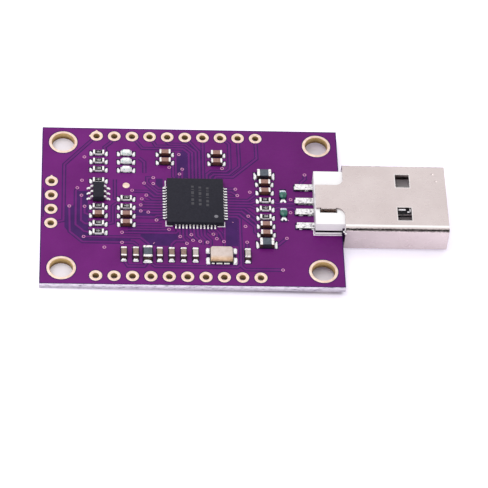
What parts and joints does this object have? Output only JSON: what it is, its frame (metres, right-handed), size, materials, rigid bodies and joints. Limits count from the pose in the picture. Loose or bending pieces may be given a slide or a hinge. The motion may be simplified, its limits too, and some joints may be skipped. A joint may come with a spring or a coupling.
{
  "type": "usb to serial adapter module",
  "caption": "Flat circuit board with a USB plug at one end, chips on its top face, ringed mounting holes in its corners and header holes along its edges; turns USB into a serial port.",
  "frame": {"origin": "centre of the four mounting holes, on the underside of the circuit board", "axes": "+X along the board towards the plug's mouth, +Y across the board towards the back row of header holes, +Z out of the component side"},
  "size_m": [0.0572, 0.0284, 0.0045],
  "materials": {
    "board": "glossy purple solder mask over copper traces, with pale bare edges",
    "gold": "satin gold plating",
    "steel": "satin sheet steel",
    "white_plastic": "satin white",
    "contact": "satin gold plating",
    "solder": "bright solder",
    "end_cap": "bright tinned metal",
    "chip_black": "matt black moulding",
    "resistor_black": "smooth black glaze",
    "capacitor_brown": "fine-grained brown",
    "capacitor_grey": "fine-grained grey",
    "ferrite": "dark blue-grey",
    "lamp_resin": "clear resin over a white base",
    "suppressor": "glossy teal green",
    "crystal_base": "dark ceramic",
    "crystal_lid": "satin pale metal"
  },
  "bodies": {
    "root": {"circuit_board": "board", "mounting_hole_rings": "gold", "back_header_pads": "gold", "front_header_pads": "gold", "side_header_pads": "gold", "test_pad": "gold", "usb_shell": "steel", "usb_insulator": "white_plastic", "contact_solder": "solder", "main_chip": "chip_black", "main_chip_terminals": "end_cap", "memory_chip": "chip_black", "memory_chip_leads": "end_cap", "usb_contact_1": "contact", "usb_contact_2": "contact", "usb_contact_3": "contact", "usb_contact_4": "contact", "crystal_base": "crystal_base", "crystal_lid": "crystal_lid", "resistor_01": "resistor_black", "resistor_02": "resistor_black", "resistor_03": "resistor_black", "resistor_04": "resistor_black", "resistor_05": "resistor_black", "resistor_06": "resistor_black", "resistor_07": "resistor_black", "resistor_08": "resistor_black", "resistor_09": "resistor_black", "resistor_10": "resistor_black", "resistor_11": "resistor_black", "resistor_12": "resistor_black", "indicator_lamp_1": "lamp_resin", "indicator_lamp_2": "lamp_resin", "indicator_lamp_3": "lamp_resin", "capacitor_01": "capacitor_brown", "capacitor_02": "capacitor_brown", "capacitor_03": "capacitor_brown", "capacitor_04": "capacitor_brown", "capacitor_05": "capacitor_brown", "capacitor_06": "capacitor_brown", "capacitor_07": "capacitor_brown", "capacitor_08": "capacitor_brown", "capacitor_09": "capacitor_brown", "capacitor_10": "capacitor_brown", "capacitor_11": "capacitor_brown", "capacitor_12": "capacitor_brown", "capacitor_13": "capacitor_brown", "capacitor_14": "capacitor_brown", "capacitor_15": "capacitor_brown", "capacitor_16": "capacitor_brown", "capacitor_17": "capacitor_grey", "capacitor_18": "capacitor_grey", "ferrite_bead_01": "ferrite", "ferrite_bead_02": "ferrite", "ferrite_bead_03": "ferrite", "surge_suppressor_01": "suppressor", "surge_suppressor_02": "suppressor", "chip_end_caps": "end_cap", "solder_fillets": "solder"}
  },
  "joints": []
}
